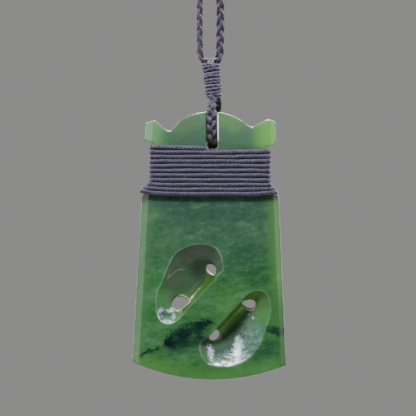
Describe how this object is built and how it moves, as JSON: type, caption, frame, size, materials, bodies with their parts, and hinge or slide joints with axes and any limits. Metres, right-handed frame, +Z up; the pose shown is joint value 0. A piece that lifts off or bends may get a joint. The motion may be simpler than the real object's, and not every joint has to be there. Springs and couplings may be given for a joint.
{
  "type": "greenstone adze pendant",
  "caption": "Adze-shaped greenstone pendant with a pierced twist carved in its face, lashed round its neck with waxed thread and hung on a plaited cord loop.",
  "frame": {"origin": "inner top of the neck cord's loop, where it hangs on a neck or a hook", "axes": "+X to the right of the carved face, +Y away from it towards the plain back, +Z up along the hanging pendant"},
  "size_m": [0.136, 0.0086, 0.3319],
  "materials": {
    "greenstone": "polished nephrite, slightly translucent, mid green with dark blue-green inclusions",
    "waxed_thread": "grey-violet waxed thread, twisted",
    "plaited_cord": "grey-violet waxed thread, plaited"
  },
  "bodies": {
    "root": {"stone": "greenstone", "lashing": "waxed_thread", "bail_braid": "plaited_cord", "sleeve": "waxed_thread", "neck_cord_left": "plaited_cord", "neck_cord_right": "plaited_cord"}
  },
  "joints": []
}
